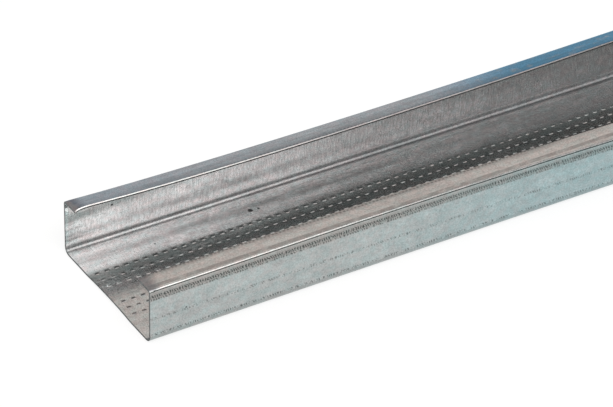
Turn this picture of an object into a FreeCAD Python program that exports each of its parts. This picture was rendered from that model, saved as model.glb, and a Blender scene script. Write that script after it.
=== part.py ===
"""Ceiling furring channel: one strip of zinc-coated steel sheet, cold rolled into a lipped C section.

The web lies on the floor with the open side up. +X runs along the channel, +Y across it and +Z up,
and the origin is under the middle of the web. All lengths are in millimetres, angles in degrees.
"""

import FreeCAD, Part
import math
import os

# Driving dimensions
LENGTH = 3000.0  # stock length, sheared square at both ends
WEB_WIDTH = 47.0  # over the outsides of the two bends between web and flanges
FLANGE_HEIGHT = 17.0  # from the outer face of the web to the outer corner of the lip bend
FLANGE_LEAN = 2.5  # the flanges lean this many degrees in from upright, so that clips hold behind the lips
LIP_WIDTH = 6.4  # from the outer corner of the lip bend to the cut edge of the sheet, along the lip
LIP_RISE = 5.0  # the lips spring back this many degrees above level, towards the middle
SHEET = 0.6  # thickness of the strip
WEB_BEND = 1.6  # inside radius of the bends between web and flanges
LIP_BEND = 0.4  # inside radius of the bends between flanges and lips


def mould_line():
    """Outer corners of the section, from one lip's cut edge round to the other, and outer bend radii."""
    lean = math.radians(FLANGE_LEAN)
    rise = math.radians(LIP_RISE)
    lip_radius = LIP_BEND + SHEET
    web_radius = WEB_BEND + SHEET
    setback = web_radius / math.tan((math.pi / 2 - lean) / 2)
    web_corner = FreeCAD.Vector(0, WEB_WIDTH / 2 - web_radius + setback, 0)
    lip_corner = web_corner + FreeCAD.Vector(0, -math.tan(lean), 1) * FLANGE_HEIGHT
    lip_tip = lip_corner + FreeCAD.Vector(0, -math.cos(rise), math.sin(rise)) * LIP_WIDTH
    one_side = [lip_tip, lip_corner, web_corner]
    other_side = [FreeCAD.Vector(0, -point.y, point.z) for point in reversed(one_side)]
    return one_side + other_side, [lip_radius, web_radius, web_radius, lip_radius]


def rounded_wire(points, radii):
    """Open wire through the points, with an arc of the given radius at each point between the ends."""
    edges = []
    start = points[0]
    for before, corner, after, radius in zip(points, points[1:], points[2:], radii):
        back = (before - corner).normalize()
        ahead = (after - corner).normalize()
        half_angle = back.getAngle(ahead) / 2
        setback = radius / math.tan(half_angle)
        depth = radius / math.sin(half_angle) - radius
        arc_start = corner + back * setback
        arc_middle = corner + (back + ahead).normalize() * depth
        arc_end = corner + ahead * setback
        edges.append(Part.LineSegment(start, arc_start).toShape())
        edges.append(Part.Arc(arc_start, arc_middle, arc_end).toShape())
        start = arc_end
    edges.append(Part.LineSegment(start, points[-1]).toShape())
    return Part.Wire(edges)


def furring_channel():
    """The strip: its outer line, thickened inwards by the sheet and drawn out to the stock length."""
    points, radii = mould_line()
    section = rounded_wire(points, radii).makeOffset2D(SHEET, fill=True, openResult=True)
    section.translate(FreeCAD.Vector(-LENGTH / 2, 0, 0))
    return section.extrude(FreeCAD.Vector(LENGTH, 0, 0))


os.makedirs("parts", exist_ok=True)
channel = furring_channel()
channel.exportStep("parts/furring_channel.step")
print("volume", round(channel.Volume, 1), "valid", channel.isValid(), channel.ShapeType)
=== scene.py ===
import math

import bpy
from mathutils import Matrix, Vector


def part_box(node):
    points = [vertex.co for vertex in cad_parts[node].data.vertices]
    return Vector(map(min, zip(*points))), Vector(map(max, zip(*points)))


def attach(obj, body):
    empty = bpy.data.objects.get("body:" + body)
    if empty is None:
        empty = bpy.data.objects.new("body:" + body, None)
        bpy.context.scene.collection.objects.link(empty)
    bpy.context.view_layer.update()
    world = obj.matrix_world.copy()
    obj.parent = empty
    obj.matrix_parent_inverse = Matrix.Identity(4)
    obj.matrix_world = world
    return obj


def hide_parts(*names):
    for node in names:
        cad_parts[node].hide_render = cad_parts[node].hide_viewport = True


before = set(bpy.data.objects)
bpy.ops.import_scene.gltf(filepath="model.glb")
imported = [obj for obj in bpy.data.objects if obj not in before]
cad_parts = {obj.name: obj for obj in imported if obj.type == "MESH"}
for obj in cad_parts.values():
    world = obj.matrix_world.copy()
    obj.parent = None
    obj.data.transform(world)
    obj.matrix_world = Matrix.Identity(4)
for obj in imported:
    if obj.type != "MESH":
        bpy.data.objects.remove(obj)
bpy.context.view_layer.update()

# The rolled strip
# One strip of zinc-coated steel sheet, cold rolled between shaped rolls into a web, two flanges and two lips.
# The flanges lean in, a little more and less along the strip, and the lips spring back above level. At the
# cut ends one flange lets go outwards, and the shear presses the corners of the lips down.
MM = 0.001
strip_start, strip_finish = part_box("furring_channel")
start_x = strip_start.x
length = strip_finish.x - strip_start.x
sheet = 0.6 * MM
flange_height = 17.0 * MM
lip_width = 6.4 * MM
web_bend = 1.6 * MM
lip_bend = 0.4 * MM
web_bend_steps = 7
lip_bend_steps = 6
flange_lean = math.radians(2.5)
lip_rise = math.radians(5.0)
outer_web_bend = web_bend + sheet
web_corner = strip_finish.y - outer_web_bend + outer_web_bend * math.tan((math.pi / 2 + flange_lean) / 2)

# How far each flange leaves its even lean, +Y side 1 and -Y side -1: let go at the cuts, drawn in, drawn out
flare = {1: math.radians(5.2), -1: 0.0}
flare_reach = 24.0 * MM
pinch = {1: math.radians(1.0), -1: math.radians(1.9)}
pinch_place = 75.0 * MM
spread = {1: math.radians(4.0), -1: math.radians(6.8)}
spread_place = 200.0 * MM
bow_reach = 45.0 * MM

# How far the shear presses each lip down at the cut ends, and its corner by itself
pressed_lip = math.radians(3.5)
pressed_reach = 6.0 * MM
pressed_corner = {1: math.radians(6.0), -1: 0.0}
corner_reach = 0.8 * MM

# The slitting knife rounds the upper corner of the lips' edges
slit_width = 0.22 * MM
slit_drop = 0.24 * MM

# Pitch of the pressed dimples along the web and between rows, which also sets the cells of the web's mesh
dimple_pitch = 3.038 * MM
row_pitch = 3.3 * MM
rows_in_group = 3
group_middle = 6.45 * MM
first_dimple = 2.5 * MM
apron_width = 1.9 * MM
columns = int((length - first_dimple) // dimple_pitch)
band_start = first_dimple - dimple_pitch / 2
band_finish = band_start + columns * dimple_pitch
group_inner = group_middle - rows_in_group * row_pitch / 2
group_outer = group_middle + rows_in_group * row_pitch / 2
apron_edge = group_outer + apron_width

# Zones of the skin, which the zinc coat reads
INSIDE, OUTSIDE, CUT, LIP, SLIT, DIMPLE, STEEP = 0.0, 1.0, 2.0, 3.0, 4.0, 5.0, 6.0


def along_angle(angle):
    """Unit vector in the section, from the angle it makes with +Y."""
    return Vector((math.cos(angle), math.sin(angle)))


def side_of_section(lean, rise):
    """Outer face of one side of the section as (y, z, angle of its normal, zone), from the web to the lip."""
    hold = 0.15 * MM
    lip_begins = math.radians(35)
    headings = (0.0, math.pi / 2 + lean, math.pi - rise)
    lip_corner = Vector((web_corner - flange_height * math.tan(lean), flange_height))
    points = [(Vector((apron_edge, 0.0)), 0.0, OUTSIDE)]
    bends = (
        (Vector((web_corner, 0.0)), web_bend + sheet, web_bend_steps, OUTSIDE),
        (lip_corner, lip_bend + sheet, lip_bend_steps, LIP),
    )
    for (corner, radius, steps, zone), before, after in zip(bends, headings, headings[1:]):
        setback = radius * math.tan((after - before) / 2)
        arc_start = corner - along_angle(before) * setback
        middle = arc_start + along_angle(before + math.pi / 2) * radius
        points.append((arc_start - along_angle(before) * hold, before, zone))
        for step in range(steps + 1):
            heading = before + (after - before) * step / steps
            side_face = heading - math.pi / 2 < lip_begins
            rim = middle + along_angle(heading - math.pi / 2) * radius
            points.append((rim, heading, OUTSIDE if side_face else zone))
        points.append((corner + along_angle(after) * (setback + hold), after, zone))
    for reach in (lip_width / 2, lip_width - slit_width):
        points.append((lip_corner + along_angle(headings[2]) * reach, headings[2], LIP))
    return [(spot.x, spot.y, heading - math.pi / 2, zone) for spot, heading, zone in points]


def lean_at(along, side):
    """Angle of the +Y flange (side 1) or the -Y flange (side -1), at a distance along the channel."""
    from_end = min(along, length - along)
    let_go = flare[side] * math.exp(-from_end / flare_reach)
    drawn_in = pinch[side] * math.exp(-(((along - pinch_place) / bow_reach) ** 2))
    drawn_out = spread[side] * math.exp(-(((along - spread_place) / bow_reach) ** 2))
    return flange_lean + drawn_in - drawn_out - let_go


def rise_at(along, side):
    """Lip angle at a distance along the channel: it turns with the flange, and drops at the ends."""
    from_end = min(along, length - along)
    left = max(0.0, 1 - from_end / pressed_reach)
    pressed = pressed_lip * left * left + pressed_corner[side] * math.exp(-from_end / corner_reach)
    return lip_rise + flange_lean - lean_at(along, side) - pressed


def section_at(along, side):
    """Outer, inner and slit corner points of one side of the section, at a distance along the channel."""
    x = start_x + along
    outer, inner = [], []
    for y, z, angle, zone in side_of_section(lean_at(along, side), rise_at(along, side)):
        outer.append(Vector((x, side * y, z)))
        inner.append(Vector((x, side * (y - sheet * math.cos(angle)), z - sheet * math.sin(angle))))
    tip = (outer[-1] - outer[-2]).normalized() * slit_width
    through = (inner[-1] - outer[-1]).normalized() * slit_drop
    inner[-1] = inner[-1] + tip
    return outer, inner, outer[-1] + tip + through


polygons, zones = [], []


def skin(corners, zone, side, flipped=False):
    """Adds one face to one side of the strip, with its corners in the order that points it outwards."""
    corners = [Vector(corner) for corner in corners]
    if flipped != (side < 0):
        corners.reverse()
    polygons.append(corners)
    zones.append(zone)


# Stations along the channel: close together at the ends and where the flanges wander, then one for each bay
dimples_in_bay = 60
boundaries = [band_start + dimple_pitch * n for n in range(columns + 1)]
bay_lines = sorted(set(boundaries[::dimples_in_bay] + boundaries[-1:]))
end_steps = [step * MM for step in (0, 0.3, 0.7, 1.2, 2, 3, 4, 5, 6, 8, 11, 15, 20, 27, 36, 50)]
bow_steps = [step * MM for step in range(65, 350, 15)]
stations = sorted({0.0, length, *bay_lines, *end_steps, *bow_steps, *(length - step for step in end_steps)})
point_zones = [zone for y, z, angle, zone in side_of_section(flange_lean, lip_rise)]
side_zones = [min(pair) for pair in zip(point_zones, point_zones[1:])]
row_lines = [0.0] + [group_inner + row_pitch * n for n in range(rows_in_group + 1)]
for side in (1, -1):
    sections = [section_at(along, side) for along in stations]
    for (outer_a, inner_a, slit_a), (outer_b, inner_b, slit_b) in zip(sections, sections[1:]):
        for j, zone in enumerate(side_zones):
            skin((outer_a[j], outer_a[j + 1], outer_b[j + 1], outer_b[j]), zone, side)
            skin((inner_a[j], inner_b[j], inner_b[j + 1], inner_a[j + 1]), INSIDE, side)
        skin((outer_a[-1], slit_a, slit_b, outer_b[-1]), SLIT, side)
        skin((slit_a, inner_a[-1], inner_b[-1], slit_b), CUT, side)
    for (outer, inner, slit), flipped in ((sections[0], False), (sections[-1], True)):
        for j in range(len(outer) - 1):
            skin((outer[j], inner[j], inner[j + 1], outer[j + 1]), CUT, side, flipped)
        skin((outer[-1], inner[-1], slit), CUT, side, flipped)

    # Aprons of the web between the dimpled band and the flanges' stations, one for each bay
    apron_lines = [0.0, *bay_lines, length]
    for near, far in zip(apron_lines, apron_lines[1:]):
        fine = [along for along in boundaries if near < along < far]
        coarse = [along for along in stations if near < along < far]
        for z, zone, flipped in ((0.0, OUTSIDE, False), (sheet, INSIDE, True)):
            corners = [(start_x + along, side * group_outer, z) for along in (far, *reversed(fine), near)]
            corners += [(start_x + along, side * apron_edge, z) for along in (near, *coarse, far)]
            skin(corners, zone, side, flipped)

    # Plain strip between the two groups of dimples, and the short plain margins at the two cut ends
    for near, far in zip(bay_lines, bay_lines[1:]):
        fine = [along for along in boundaries if near < along < far]
        for z, zone, flipped in ((0.0, OUTSIDE, True), (sheet, INSIDE, False)):
            corners = [(start_x + along, 0, z) for along in (near, far)]
            corners += [(start_x + along, side * group_inner, z) for along in (far, *reversed(fine), near)]
            skin(corners, zone, side, flipped)
    for near, far in ((0.0, band_start), (band_finish, length)):
        a, b = start_x + near, start_x + far
        for low, high in zip(row_lines, row_lines[1:]):
            for z, zone, flipped in ((0.0, OUTSIDE, True), (sheet, INSIDE, False)):
                around = ((a, low), (b, low), (b, high), (a, high))
                skin([(x, side * y, z) for x, y in around], zone, side, flipped)
    for x, flipped in ((start_x, False), (start_x + length, True)):
        for low, high in zip(row_lines + [group_outer], row_lines[1:] + [apron_edge]):
            around = ((low, 0), (low, sheet), (high, sheet), (high, 0))
            skin([(x, side * y, z) for y, z in around], CUT, side, flipped)


def mesh_of(name, faces, face_zones):
    """Mesh of loose faces with the zone of the strip that each belongs to."""
    corners = [corner for face in faces for corner in face]
    loops, first = [], 0
    for face in faces:
        loops.append(range(first, first + len(face)))
        first += len(face)
    mesh = bpy.data.meshes.new(name)
    mesh.from_pydata(corners, [], loops)
    zone = mesh.attributes.new("zone", "FLOAT", "FACE")
    zone.data.foreach_set("value", face_zones)
    return mesh


strip = bpy.data.objects.new("strip", mesh_of("strip", polygons, zones))
bpy.context.scene.collection.objects.link(strip)

# The dimples
# Small oblong dimples pressed up through the web by a toothed roll, so that screws start without slipping.
# They stand up inside the channel and leave dents under it, in two groups of rows with a plain strip between.
# Under both groups the web is pushed up to a low crown, and the band runs a little off centre.
dimple_length = 1.6 * MM
dimple_height = 0.13 * MM
steep_edge = -0.08 * MM  # these three lie across the dimple, from the middle of its cell
crest_line = 0.20 * MM
shallow_edge = 1.02 * MM
edge_share = 0.6  # shares of the dimple's length that its edges and its crest have
crest_share = 0.5
dent_depth = 0.12 * MM
dent_half_width = 0.5 * MM
unevenness = (0.10 * MM, 0.08 * MM, 0.035 * MM)
unevenness_seed = 5
crown_height = 0.44 * MM
crown_roundness = 1.9
band_shift = -0.4 * MM
near_group_shift = -1.25 * MM
near_group_squeeze = -0.12
weld_distance = 0.02 * MM
just_over = 1.001  # so that a point on the edge of a band counts as within it


def dimple_cell():
    """One cell of the web with its dimple: a small bump with one steep side above, a dent below."""
    half_pitch, half_row = dimple_pitch / 2, row_pitch / 2
    end = dimple_length / 2
    edge, crest = end * edge_share, end * crest_share
    faces, face_zones = [], []
    rim = [(end, crest_line), (edge, shallow_edge), (-edge, shallow_edge)]
    rim += [(-end, crest_line), (-edge, steep_edge), (edge, steep_edge)]
    up = [Vector((x, y, sheet)) for x, y in rim]
    east, west = (Vector((x, crest_line, sheet + dimple_height)) for x in (crest, -crest))
    quarters = ((1, 1), (-1, 1), (-1, -1), (1, -1))
    around = [(half_pitch * x, half_row * y) for x, y in quarters]
    north_east, north_west, south_west, south_east = (Vector((x, y, sheet)) for x, y in around)
    faces += [(up[1], up[2], west, east), (up[0], up[1], east), (up[2], up[3], west)]
    face_zones += [DIMPLE] * len(faces)
    faces += [(up[4], up[5], east, west), (up[5], up[0], east), (up[3], up[4], west)]
    face_zones += [STEEP] * (len(faces) - len(face_zones))
    faces += [(up[2], up[1], north_east, north_west), (up[5], up[4], south_west, south_east)]
    faces += [(south_east, north_east, up[0]), (up[0], north_east, up[1]), (up[5], south_east, up[0])]
    faces += [(north_west, south_west, up[3]), (up[3], south_west, up[4]), (up[2], north_west, up[3])]
    face_zones += [INSIDE] * (len(faces) - len(face_zones))
    dent_rim = ((end, 0), (0, dent_half_width), (-end, 0), (0, -dent_half_width))
    down = [Vector((x, y, 0)) for x, y in dent_rim]
    bottom = Vector((0, 0, dent_depth))
    corners = [Vector((x, y, 0)) for x, y in around]
    for n in range(4):
        after = (n + 1) % 4
        faces += [(down[after], down[n], bottom), (down[n], down[after], corners[n])]
        faces += [(down[n], corners[n], corners[n - 1])]
    face_zones += [OUTSIDE] * (len(faces) - len(face_zones))
    return mesh_of("dimple_cell", faces, face_zones)


def node(tree, kind, sockets=None, **settings):
    """Adds a node: settings are its own values, sockets are inputs by name or number, linked or set."""
    made = tree.nodes.new(kind)
    for name, value in settings.items():
        setattr(made, name, value)
    for key, value in (sockets or {}).items():
        if isinstance(value, bpy.types.NodeSocket):
            tree.links.new(value, made.inputs[key])
        else:
            made.inputs[key].default_value = value
    return made


def dimpling_tree():
    """Sets the dimple cell on both groups of rows along the strip and welds everything into one skin."""
    tree = bpy.data.node_groups.new("dimple_the_web", "GeometryNodeTree")
    tree.interface.new_socket("Geometry", in_out="INPUT", socket_type="NodeSocketGeometry")
    for name, kind in (
        ("Dimple cell", "NodeSocketObject"),
        ("Columns", "NodeSocketInt"),
        ("Rows in a group", "NodeSocketInt"),
        ("Pitch", "NodeSocketFloat"),
        ("Row pitch", "NodeSocketFloat"),
        ("Group middle", "NodeSocketFloat"),
        ("Middle of the band", "NodeSocketFloat"),
        ("Weld", "NodeSocketFloat"),
        ("Half width of the band", "NodeSocketFloat"),
        ("Crown height", "NodeSocketFloat"),
        ("Roundness of the crown", "NodeSocketFloat"),
        ("Band shift", "NodeSocketFloat"),
        ("Near group shift", "NodeSocketFloat"),
        ("Near group squeeze", "NodeSocketFloat"),
        ("Inner edge of a group", "NodeSocketFloat"),
        ("Crest level", "NodeSocketFloat"),
        ("Unevenness", "NodeSocketVector"),
        ("Finish", "NodeSocketMaterial"),
    ):
        tree.interface.new_socket(name, in_out="INPUT", socket_type=kind)
    tree.interface.new_socket("Geometry", in_out="OUTPUT", socket_type="NodeSocketGeometry")
    given = node(tree, "NodeGroupInput").outputs

    def reckon(operation, a, b=0.0):
        return node(tree, "ShaderNodeMath", {0: a, 1: b}, operation=operation).outputs[0]

    def span(count, pitch):
        return reckon("MULTIPLY", reckon("SUBTRACT", given[count], 1.0), given[pitch])

    # A cell on every point of both groups, joined to the strip and welded
    grid = node(tree, "GeometryNodeMeshGrid", {
        "Size X": span("Columns", "Pitch"),
        "Size Y": span("Rows in a group", "Row pitch"),
        "Vertices X": given["Columns"],
        "Vertices Y": given["Rows in a group"],
    })
    points = node(tree, "GeometryNodeJoinGeometry")
    for side in (1.0, -1.0):
        place = node(tree, "ShaderNodeCombineXYZ", {
            "X": given["Middle of the band"],
            "Y": reckon("MULTIPLY", given["Group middle"], side),
        })
        group = node(tree, "GeometryNodeTransform", {
            "Geometry": grid.outputs["Mesh"],
            "Translation": place.outputs[0],
        })
        tree.links.new(group.outputs[0], points.inputs[0])
    cell = node(tree, "GeometryNodeObjectInfo", {"Object": given["Dimple cell"]})
    cells = node(tree, "GeometryNodeInstanceOnPoints", {
        "Points": points.outputs[0],
        "Instance": cell.outputs["Geometry"],
    })
    whole = node(tree, "GeometryNodeJoinGeometry")
    tree.links.new(cells.outputs[0], whole.inputs[0])
    tree.links.new(given["Geometry"], whole.inputs[0])
    real = node(tree, "GeometryNodeRealizeInstances", {0: whole.outputs[0]})
    welded = node(tree, "GeometryNodeMergeByDistance", {
        "Geometry": real.outputs[0],
        "Distance": given["Weld"],
    })

    # No two crests quite alike
    position = node(tree, "GeometryNodeInputPosition").outputs[0]
    spot = node(tree, "ShaderNodeSeparateXYZ", {0: position}).outputs
    share = reckon("DIVIDE", reckon("ABSOLUTE", spot["Y"]), given["Half width of the band"])
    in_band = reckon("LESS_THAN", share, just_over)
    crest = reckon("MULTIPLY", in_band, reckon("GREATER_THAN", spot["Z"], given["Crest level"]))
    other_way = {0: given["Unevenness"], 1: (-1, -1, -1)}
    least = node(tree, "ShaderNodeVectorMath", other_way, operation="MULTIPLY")
    wander = node(tree, "FunctionNodeRandomValue", {
        0: least.outputs[0],
        1: given["Unevenness"],
        "Seed": unevenness_seed,
    }, data_type="FLOAT_VECTOR")
    uneven = node(tree, "GeometryNodeSetPosition", {
        "Geometry": welded.outputs[0],
        "Selection": crest,
        "Offset": wander.outputs[0],
    })

    # The low crown, and the groups in their true places across the web
    rise = reckon("SUBTRACT", 1.0, reckon("POWER", share, given["Roundness of the crown"]))
    towards_near = reckon("MULTIPLY", spot["Y"], -just_over)
    in_near_group = reckon("GREATER_THAN", towards_near, given["Inner edge of a group"])
    off_middle = reckon("ADD", spot["Y"], given["Group middle"])
    squeezed = reckon("MULTIPLY", off_middle, given["Near group squeeze"])
    near_shift = reckon("ADD", given["Near group shift"], squeezed)
    across = reckon("ADD", given["Band shift"], reckon("MULTIPLY", in_near_group, near_shift))
    up = reckon("MULTIPLY", rise, given["Crown height"])
    crowned = node(tree, "GeometryNodeSetPosition", {
        "Geometry": uneven.outputs[0],
        "Selection": in_band,
        "Offset": node(tree, "ShaderNodeCombineXYZ", {"Y": across, "Z": up}).outputs[0],
    })
    finished = node(tree, "GeometryNodeSetMaterial", {
        "Geometry": crowned.outputs[0],
        "Material": given["Finish"],
    })
    node(tree, "NodeGroupOutput", {0: finished.outputs[0]})
    return tree


# The zinc coat
# Hot-dip zinc, rolled to a satin finish: a fine grain across the strip, dull patches and a few dark specks.
# Forming rolls leave rows of small tick marks along the flanges, and the sheared edges are dull bare steel.
zinc = bpy.data.materials.new("galvanised_steel")
zinc.use_nodes = True
coat = zinc.node_tree
coat.nodes.clear()
unchanged = (1, 1, 1, 1)


def value(operation, a, b=0.0):
    """One sum on numbers or sockets."""
    return node(coat, "ShaderNodeMath", {0: a, 1: b}, operation=operation).outputs[0]


def product(first, *others):
    """All the numbers or sockets, multiplied."""
    for other in others:
        first = value("MULTIPLY", first, other)
    return first


def rest_of(share):
    """What a share leaves of 1."""
    return value("SUBTRACT", 1.0, share)


def lifted(base, share, gain):
    """The base, with the gain added where share is 1."""
    return value("ADD", base, value("MULTIPLY", share, gain))


def step_between(socket, low, high):
    """0 below low and 1 above high, with a smooth rise between them."""
    made = node(coat, "ShaderNodeMapRange", {"Value": socket, "From Min": low, "From Max": high},
                interpolation_type="SMOOTHSTEP", clamp=True)
    return made.outputs[0]


def band_of(socket, middle, half_width, soft):
    """1 within half_width of middle and 0 past a soft edge."""
    off = value("ABSOLUTE", value("SUBTRACT", socket, middle))
    return rest_of(step_between(off, half_width - soft, half_width + soft))


def blend(factor, a, b):
    """Colour a where factor is 0 and colour b where it is 1."""
    return node(coat, "ShaderNodeMix", {0: factor, 6: a, 7: b}, data_type="RGBA").outputs[2]


def times(colour, factor):
    """The colour, multiplied by a number or by another colour."""
    return node(coat, "ShaderNodeVectorMath", {0: colour, 1: factor}, operation="MULTIPLY").outputs[0]


def tint(colour, share, tone):
    """The colour, times a tone where share is 1."""
    return times(colour, blend(share, unchanged, tone))


def shade(colour, share, depth):
    """The colour, darker by depth where share is 1."""
    return times(colour, rest_of(product(share, depth)))


# Places on the strip: its zones, the distances from the photographed end, from either end and from the middle
place = node(coat, "ShaderNodeTexCoord").outputs["Object"]
spot = node(coat, "ShaderNodeSeparateXYZ", {0: place}).outputs
zone = node(coat, "ShaderNodeAttribute", attribute_name="zone").outputs["Fac"]
inner_face, outside, cut, lip, slit, dimple_side, steep_side = (
    band_of(zone, number, half_width=0.5, soft=0.1)
    for number in (INSIDE, OUTSIDE, CUT, LIP, SLIT, DIMPLE, STEEP)
)
from_start = value("SUBTRACT", spot["X"], start_x)
from_end = value("SUBTRACT", length / 2, value("ABSOLUTE", spot["X"]))
off_centre = value("ABSOLUTE", spot["Y"])
on_near_side = rest_of(step_between(spot["Y"], -0.5 * MM, 0.5 * MM))
upright = step_between(spot["Z"], 2.0 * MM, 3.5 * MM)
on_web = rest_of(upright)
further_in = step_between(from_start, 45 * MM, 115 * MM)


def grain(size_along, size_across, detail=2.0):
    """Noise with features of the given sizes along and across the strip, from 0 to 1."""
    scale = (1 / size_along, 1 / size_across, 1 / size_across)
    scaled = times(place, scale)
    return node(coat, "ShaderNodeTexNoise", {"Vector": scaled, "Scale": 1.0, "Detail": detail}).outputs["Fac"]


streaks = grain(0.30 * MM, 2.6 * MM)
patches = grain(9.0 * MM, 5.0 * MM, detail=3.0)
clouds = grain(3.2 * MM, 2.4 * MM, detail=3.0)
sand = grain(0.45 * MM, 0.45 * MM, detail=3.0)
lines = grain(60.0 * MM, 3.6 * MM)
smears = grain(14.0 * MM, 1.8 * MM, detail=3.0)

# Inside: streaks up the flanges, smears along the web, and a painted dark reflection, a smudge on the web
# near one end
streak_dark = (0.51, 0.51, 0.508, 1)
streak_light = (0.715, 0.713, 0.713, 1)
streak_share = lifted(0.4, upright, 0.6)
upright_streaks = lifted(0.5, streak_share, value("SUBTRACT", streaks, 0.5))
inside_tone = blend(step_between(upright_streaks, 0.30, 0.70), streak_dark, streak_light)
# Painted dark reflection: a darker smudge along the web near one end, mottled by the smears
dark_reflection_smudge = product(
    band_of(spot["Y"], middle=17.0 * MM, half_width=1.3 * MM, soft=1.2 * MM),
    band_of(from_start, middle=40 * MM, half_width=62 * MM, soft=25 * MM),
    lifted(0.12, step_between(smears, 0.30, 0.70), 0.46),
)
web_shade = value("SUBTRACT", lifted(0.74, smears, 0.52), dark_reflection_smudge)
inside_tone = times(inside_tone, lifted(upright, on_web, web_shade))

# A painted dark reflection lies in a band over one group of dimples, darkest at the cut end, with a painted
# light reflection in a strip beside it. The steep sides of the dimples are kept out of the dark band and stay
# bright there.
dark_band_start_tone = (0.58, 0.61, 0.605, 1)
dark_band_further_tone = (0.88, 0.91, 0.90, 1)
dark_end_tone = (0.60, 0.62, 0.615, 1)
light_strip_start_tone = (1.40, 1.43, 1.42, 1)
light_strip_further_tone = (1.50, 1.52, 1.50, 1)
between_steep_sides = product(on_web, rest_of(steep_side))
painted_dark_band = product(
    band_of(spot["Y"], middle=8.5 * MM, half_width=1.4 * MM, soft=0.7 * MM),
    between_steep_sides,
)
dark_band_tone = blend(step_between(from_start, 10 * MM, 90 * MM), dark_band_start_tone, dark_band_further_tone)
inside_tone = tint(inside_tone, painted_dark_band, dark_band_tone)
painted_dark_end = product(
    band_of(spot["Y"], middle=8.3 * MM, half_width=3.3 * MM, soft=1.2 * MM),
    between_steep_sides,
    rest_of(step_between(from_start, 12 * MM, 48 * MM)),
)
inside_tone = tint(inside_tone, painted_dark_end, dark_end_tone)
painted_light_strip = product(band_of(spot["Y"], middle=4.4 * MM, half_width=1.2 * MM, soft=0.5 * MM), on_web)
inside_tone = tint(inside_tone, painted_light_strip, blend(further_in, light_strip_start_tone, light_strip_further_tone))

# By the cut end the flanges are lighter and glossier and the web is darker. Further in everything is darker,
# most of all high up. The shallow sides of the other, near group of dimples are painted dark: a painted dark
# reflection.
dimple_dark_reflection = (0.12, 0.10, 0.095, 1)
lighter_glossier_end = product(upright, rest_of(step_between(from_start, 3 * MM, 24 * MM)))
inside_tone = times(inside_tone, lifted(1.0, lighter_glossier_end, 0.30))
darker_web_end = product(
    on_web,
    band_of(spot["Y"], middle=15.0 * MM, half_width=6.0 * MM, soft=2.0 * MM),
    rest_of(step_between(from_start, 4 * MM, 18 * MM)),
)
inside_tone = shade(inside_tone, darker_web_end, 0.20)
high_up = step_between(spot["Z"], 7.0 * MM, 11.0 * MM)
inside_tone = shade(inside_tone, further_in, lifted(0.02, high_up, 0.14))
# Painted dark reflection on the shallow sides of the near group of dimples
inside_tone = blend(product(dimple_side, on_near_side, 0.7), inside_tone, dimple_dark_reflection)

# The bends between web and flanges: a painted highlight up the side, a painted highlight at the foot by the
# cut end that turns to painted shade further in, painted shade on the web beside the foot, and a painted pale
# highlight along the inside of the flanges at the cut ends
lit_foot_tone = (1.12, 1.12, 1.12, 1)
shaded_foot_tone = (0.70, 0.71, 0.72, 1)
bend_side_highlight = (1.3, 1.3, 1.3, 1)
rim_highlight_tone = (0.84, 0.93, 0.93, 1)
bends = product(
    inner_face,
    step_between(off_centre, 21.1 * MM, 21.4 * MM),
    rest_of(step_between(spot["Z"], 2.4 * MM, 2.9 * MM)),
)
bend_foot = product(bends, rest_of(step_between(spot["Z"], 1.0 * MM, 1.5 * MM)))
bend_side = value("SUBTRACT", bends, bend_foot)
shade_by_foot = product(
    band_of(spot["Y"], middle=21.0 * MM, half_width=0.5 * MM, soft=0.25 * MM),
    further_in,
    on_web,
)
inside_tone = shade(inside_tone, shade_by_foot, 0.35)
foot_light_and_shade = blend(step_between(from_start, 30 * MM, 120 * MM), lit_foot_tone, shaded_foot_tone)
inside_tone = tint(inside_tone, bend_foot, foot_light_and_shade)
inside_tone = tint(inside_tone, bend_side, bend_side_highlight)
# Painted pale highlight along the inside of the flanges at the cut ends
rim = product(rest_of(step_between(from_end, 0.7 * MM, 1.0 * MM)), upright)
inside_tone = blend(rim, inside_tone, rim_highlight_tone)

# Outside: a more even, duller and slightly green zinc
outside_dark = (0.388, 0.421, 0.416, 1)
outside_light = (0.426, 0.464, 0.459, 1)
outside_tone = blend(step_between(patches, 0.35, 0.65), outside_dark, outside_light)
tone = blend(outside, inside_tone, outside_tone)

# The lips: bright in the middle, dull beside the bend and towards the slit edge, with a row of small notches.
# A painted highlight on the near lip bend by the cut end, painted shade on the lips' corners by the cuts, and
# a painted cool reflection on the far lip
lip_bright = (0.625, 0.605, 0.595, 1)
lip_edge_dull = (0.24, 0.235, 0.23, 1)
lip_bend_dull = (0.28, 0.27, 0.265, 1)
lip_bend_highlight = (1.12, 1.12, 1.11, 1)
notch_dark = (0.12, 0.12, 0.12, 1)
lip_corner_shade = (0.20, 0.19, 0.21, 1)
far_lip_reflection_tint = (0.955, 1.0, 1.03, 1)
notch_pitch = 1.2 * MM
towards_edge = rest_of(step_between(off_centre, 16.4 * MM, 18.8 * MM))
lip_tone = blend(product(towards_edge, 0.6), lip_bright, lip_edge_dull)
by_bend = product(
    band_of(off_centre, middle=21.25 * MM, half_width=0.65 * MM, soft=0.15 * MM),
    step_between(clouds, 0.25, 0.60),
    on_near_side,
)
lip_tone = blend(product(by_bend, 0.7), lip_tone, lip_bend_dull)
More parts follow.
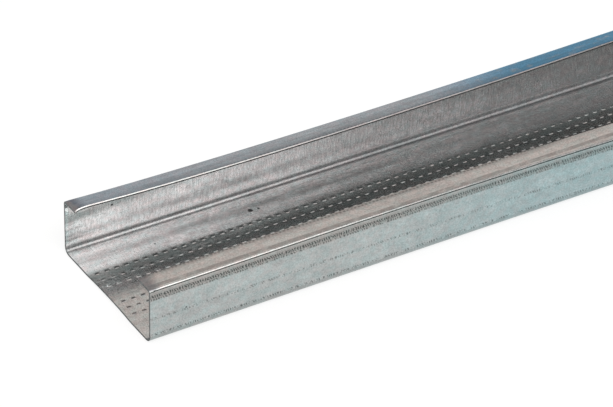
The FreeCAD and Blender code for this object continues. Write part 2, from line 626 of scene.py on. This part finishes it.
# Painted highlight on the near lip bend, by the cut end
near_bend_highlight = product(
    band_of(off_centre, middle=22.4 * MM, half_width=0.4 * MM, soft=0.2 * MM),
    on_near_side,
    rest_of(further_in),
)
lip_tone = tint(lip_tone, near_bend_highlight, lip_bend_highlight)
far_lip_middle = product(
    band_of(off_centre, middle=18.5 * MM, half_width=1.2 * MM, soft=0.6 * MM),
    rest_of(on_near_side),
)
lip_tone = times(lip_tone, value("SUBTRACT", lifted(0.76, smears, 0.48), product(far_lip_middle, 0.16)))
notches = product(
    band_of(value("FRACT", product(spot["X"], 1 / notch_pitch)), middle=0.5, half_width=0.25, soft=0.2),
    band_of(off_centre, middle=16.85 * MM, half_width=0.25 * MM, soft=0.12 * MM),
)
lip_tone = blend(product(notches, 0.6), lip_tone, notch_dark)
# Painted shade on the lips' corners by the cuts
shade_by_cut = rest_of(step_between(from_end, 1.0 * MM, 5.0 * MM))
lip_tone = blend(product(shade_by_cut, 0.75), lip_tone, lip_corner_shade)
# Painted cool reflection on the far lip
lip_tone = times(lip_tone, blend(on_near_side, far_lip_reflection_tint, unchanged))
tone = blend(lip, tone, lip_tone)

# The sheared ends are dull, and the rounded corner of the slit edges is bright bare steel with a painted
# highlight, less so further in
sheared_steel = (0.16, 0.17, 0.17, 1)
slit_start_tone = (0.84, 0.83, 0.81, 1)
slit_further_tone = (0.52, 0.49, 0.49, 1)
tone = blend(cut, tone, sheared_steel)
slit_tone = blend(step_between(from_start, 20 * MM, 95 * MM), slit_start_tone, slit_further_tone)
tone = blend(slit, tone, slit_tone)

# Marks of the forming rolls along the outside of the flanges: a dull strip under the lip bend with a dense
# row of ticks and a thinner one below it, a faint row at mid height, and another above the foot, which is
# painted shade by the floor
dull_top_low = (0.345, 0.345, 0.33, 1)
dull_top_high = (0.43, 0.425, 0.41, 1)
outer_foot_shade_tone = (0.32, 0.345, 0.34, 1)
tick_dark = (0.045, 0.055, 0.052, 1)
tick_pitch = 0.78 * MM
tick_slant = 0.5 / MM
row_soft = 0.2 * MM
ragged_height = lifted(spot["Z"], value("SUBTRACT", clouds, 0.5), 1.6 * MM)
dull_top = product(outside, step_between(ragged_height, 13.2 * MM, 14.3 * MM))
dull_top_tone = blend(step_between(spot["Z"], 15.9 * MM, 16.4 * MM), dull_top_low, dull_top_high)
tone = blend(dull_top, tone, dull_top_tone)
# Painted shade on the foot of the outside by the floor: the outer bends and the underside of the web
foot_shade_by_floor = product(outside, rest_of(step_between(spot["Z"], 2.1 * MM, 2.6 * MM)))
tone = blend(product(foot_shade_by_floor, 0.85), tone, outer_foot_shade_tone)
wobble = product(grain(1.9 * MM, 0.7 * MM), 2.4)
along_row = lifted(product(spot["X"], 1 / tick_pitch), spot["Z"], tick_slant)
tick_bars = band_of(value("FRACT", value("ADD", along_row, wobble)), middle=0.5, half_width=0.27, soft=0.14)
ticks = 0.0
for height, half_row, low, high, strength in (
    (14.95 * MM, 0.5 * MM, 0.20, 0.42, 0.95),
    (13.95 * MM, 0.3 * MM, 0.36, 0.52, 0.85),
    (7.85 * MM, 0.4 * MM, 0.40, 0.60, 0.62),
    (2.7 * MM, 0.35 * MM, 0.36, 0.56, 0.72),
):
    row = band_of(spot["Z"], height, half_row, row_soft)
    there = product(step_between(grain(0.8 * MM, 1.2 * MM), low, high), strength)
    ticks = value("MAXIMUM", ticks, product(row, there))
ticks = product(ticks, tick_bars, outside, rest_of(product(further_in, 0.1)))
tone = blend(ticks, tone, tick_dark)

# Fine sandy speckle of the zinc over everything, pepper on the inside, and a faint play of warm and cool
warm = (1.035, 0.985, 0.985, 1)
cool = (0.965, 1.01, 1.015, 1)
tone = times(tone, value("ADD", lifted(0.42, sand, 0.80), product(clouds, 0.36)))
pepper = product(step_between(grain(0.34 * MM, 0.34 * MM, detail=1.0), 0.60, 0.70), inner_face)
tone = shade(tone, pepper, 0.4)
tone = times(tone, blend(step_between(grain(2.2 * MM, 1.6 * MM, detail=3.0), 0.35, 0.65), warm, cool))

# A bluish tint that drifts in along the strip: faint on the flanges, strong on a stretch of one lip
lip_blue_tone = (0.28, 0.67, 0.95, 1)
flange_blue_tone = (0.84, 1.0, 1.04, 1)
blue_drift = product(
    step_between(from_start, 108 * MM, 152 * MM),
    band_of(from_start, middle=120 * MM, half_width=140 * MM, soft=30 * MM),
    step_between(clouds, 0.10, 0.50),
)
one_lip = product(lip, step_between(spot["Y"], 0.0, 1.0 * MM))
tone = tint(tone, product(blue_drift, one_lip), lip_blue_tone)
faint_blue_drift = product(step_between(from_start, 50 * MM, 150 * MM), outside)
tone = tint(tone, faint_blue_drift, flange_blue_tone)

# A few dark specks of dross, from the photographed end on: distance along, across, up and radius
dross = (0.012, 0.012, 0.014, 1)
for along, across, up, radius in (
    (54.6, 15.5, 0.6, 0.95),
    (57.1, 15.2, 0.6, 0.45),
    (59.1, 17.4, 0.6, 0.22),
    (23.2, 14.4, 0.6, 0.25),
    (25.7, 11.9, 0.6, 0.25),
    (14.3, 23.0, 11.5, 0.46),
    (11.0, -23.2, 8.2, 0.35),
):
    centre = (start_x + along * MM, across * MM, up * MM)
    away = node(coat, "ShaderNodeVectorMath", {0: place, 1: centre}, operation="DISTANCE").outputs["Value"]
    ragged = lifted(away, value("SUBTRACT", sand, 0.5), 0.5 * MM)
    speck = rest_of(step_between(ragged, radius * 0.6 * MM, radius * MM))
    tone = blend(product(speck, 0.92), tone, dross)

# Gloss and fine relief: heights are in millimetres, and the grain across the strip spreads the gloss along it
satin = 0.14
gloss_spread = 0.85
wear = lifted(product(patches, 0.06), sand, 0.06)
edges = lifted(cut, slit, 0.4)
dull = value("SUBTRACT", product(bends, 0.27), product(lighter_glossier_end, 0.08))
roughness = value("ADD", value("ADD", satin, wear), lifted(dull, edges, 0.4))
relief = value("ADD", product(upright_streaks, 0.0022), lifted(product(patches, 0.05), clouds, 0.012))
roll_lines = product(lines, inner_face, 0.06)
height = value("ADD", relief, roll_lines)
bump = node(coat, "ShaderNodeBump", {"Height": height, "Distance": MM, "Strength": 1.0})
metal = node(coat, "ShaderNodeBsdfPrincipled", {
    "Base Color": tone,
    "Metallic": 1.0,
    "Roughness": roughness,
    "Anisotropic": gloss_spread,
    "Tangent": node(coat, "ShaderNodeCombineXYZ", {"X": 1.0}).outputs[0],
    "Normal": bump.outputs[0],
})
node(coat, "ShaderNodeOutputMaterial", {"Surface": metal.outputs[0]})

# The channel
# The dimples and the strip are one sheet of steel, so the cells are welded into the strip as one closed skin.
# The flats and bends are shaded smooth, and the dimples and sheared edges keep their creases.
crease = math.radians(14)
cell = bpy.data.objects.new("dimple_cell", dimple_cell())
bpy.context.scene.collection.objects.link(cell)
dimpling = strip.modifiers.new("dimples", "NODES")
dimpling.node_group = dimpling_tree()
settings = {
    "Dimple cell": cell,
    "Columns": columns,
    "Rows in a group": rows_in_group,
    "Pitch": dimple_pitch,
    "Row pitch": row_pitch,
    "Group middle": group_middle,
    "Middle of the band": start_x + (band_start + band_finish) / 2,
    "Weld": weld_distance,
    "Half width of the band": group_outer,
    "Crown height": crown_height,
    "Roundness of the crown": crown_roundness,
    "Band shift": band_shift,
    "Near group shift": near_group_shift,
    "Near group squeeze": near_group_squeeze,
    "Inner edge of a group": group_inner,
    "Crest level": sheet + dimple_height / 2,
    "Unevenness": unevenness,
    "Finish": zinc,
}
for socket in dimpling.node_group.interface.items_tree:
    if socket.in_out == "INPUT" and socket.name in settings:
        dimpling[socket.identifier] = settings[socket.name]
bpy.context.view_layer.update()
dimpled = bpy.data.meshes.new_from_object(strip.evaluated_get(bpy.context.evaluated_depsgraph_get()))
dimpled.shade_smooth()
dimpled.set_sharp_from_angle(angle=crease)
channel = bpy.data.objects.new("channel", dimpled)
bpy.context.scene.collection.objects.link(channel)
bpy.data.objects.remove(strip)
bpy.data.objects.remove(cell)
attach(channel, "root")
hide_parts("furring_channel")

# The floor
# A wide white studio floor of matte paper that the channel lies on. It shows white to the camera and in the
# steel, and keeps the soft shadow of the channel.
floor_half = 60.0  # metres
paper_grey = (0.35, 0.35, 0.35, 1)
paper_glow = 0.79
floor_corners = [(x * floor_half, y * floor_half, 0.0) for x, y in ((-1, -1), (1, -1), (1, 1), (-1, 1))]
floor_mesh = bpy.data.meshes.new("floor")
floor_mesh.from_pydata(floor_corners, [], [(0, 1, 2, 3)])
floor = bpy.data.objects.new("floor", floor_mesh)
bpy.context.scene.collection.objects.link(floor)
paper = bpy.data.materials.new("floor_paper")
paper.use_nodes = True
pulp = paper.node_tree
pulp.nodes.clear()
rays = node(pulp, "ShaderNodeLightPath").outputs
seen = rays["Is Camera Ray"]
for ray in ("Is Glossy Ray", "Is Transmission Ray"):
    seen = node(pulp, "ShaderNodeMath", {0: seen, 1: rays[ray]}, operation="MAXIMUM").outputs[0]
strength = node(pulp, "ShaderNodeMath", {0: seen, 1: paper_glow}, operation="MULTIPLY").outputs[0]
matte = node(pulp, "ShaderNodeBsdfDiffuse", {"Color": paper_grey})
glow = node(pulp, "ShaderNodeEmission", {"Color": (1, 1, 1, 1), "Strength": strength})
both = node(pulp, "ShaderNodeAddShader", {0: matte.outputs[0], 1: glow.outputs[0]})
node(pulp, "ShaderNodeOutputMaterial", {"Surface": both.outputs[0]})
floor_mesh.materials.append(paper)

# The light
# A pale surround: bright overhead, warm above the back, cool and dimmer low at the back, dim low in front.
# A small soft panel hangs close over the front of the cut end.
back_low, back_high = (0.46, 0.50, 0.54, 1), (0.68, 0.645, 0.605, 1)
front_low, front_middle, front_high = (0.16, 0.178, 0.172, 1), (0.45, 0.45, 0.45, 1), (0.28, 0.28, 0.28, 1)
overhead = (0.66, 0.65, 0.64, 1)
surround = bpy.data.worlds.new("surround")
bpy.context.scene.world = surround
surround.use_nodes = True
sky = surround.node_tree
facing = node(sky, "ShaderNodeSeparateXYZ", {0: node(sky, "ShaderNodeTexCoord").outputs["Generated"]}).outputs


def passing(axis, low, high, a, b):
    """Colour a where the direction's share along an axis is below low, b where it is above high."""
    made = node(sky, "ShaderNodeMapRange", {"Value": facing[axis], "From Min": low, "From Max": high},
                interpolation_type="SMOOTHSTEP", clamp=True)
    return node(sky, "ShaderNodeMix", {0: made.outputs[0], 6: a, 7: b}, data_type="RGBA").outputs[2]


back = passing("Z", 0.42, 0.56, back_low, back_high)
front = passing("Z", 0.43, 0.53, front_low, front_middle)
front = passing("Z", 0.66, 0.76, front, front_high)
around = passing("Y", -0.25, 0.25, front, back)
sky.links.new(passing("Z", 0.80, 0.96, around, overhead), sky.nodes["Background"].inputs["Color"])

# The soft panel, in metres
panel_width = 0.48
panel_depth = 0.26
panel_glow = 1.6
panel_place = (start_x + 0.05, -0.252, 0.328)
panel_tilt = math.radians(45)
panel_colour = (1.0, 0.98, 0.97)
panel_data = bpy.data.lights.new("front_panel", "AREA")
panel_data.shape = "RECTANGLE"
panel_data.size = panel_width
panel_data.size_y = panel_depth
panel_data.color = panel_colour
panel_data.energy = panel_glow * math.pi * panel_width * panel_depth
panel = bpy.data.objects.new("front_panel", panel_data)
panel.location = panel_place
panel.rotation_euler = (panel_tilt, 0, 0)
panel.visible_camera = False
bpy.context.scene.collection.objects.link(panel)

# The camera
# Stands to the left and above, at the photograph's angle, with a long lens. Its place and its turn were
# fitted to the cut end and the long edges of the channel.
lens_pixels, image_width, sensor = 3420.24, 613.0, 36.0
eye = Vector((start_x - 364.64 * MM, -642.78 * MM, 557.01 * MM))
right = Vector((0.848316, -0.527734, 0.043092))
down = Vector((-0.275896, -0.51002, -0.814715))
ahead = Vector((0.451931, 0.679247, -0.578258))
camera_data = bpy.data.cameras.new("camera")
camera_data.sensor_width = sensor
camera_data.lens = sensor * lens_pixels / image_width
camera = bpy.data.objects.new("camera", camera_data)
turn = Matrix((right, -down, -ahead)).transposed()
camera.matrix_world = Matrix.Translation(eye) @ turn.to_4x4()
bpy.context.scene.collection.objects.link(camera)
bpy.context.scene.camera = camera
bpy.context.scene.view_settings.view_transform = "Standard"
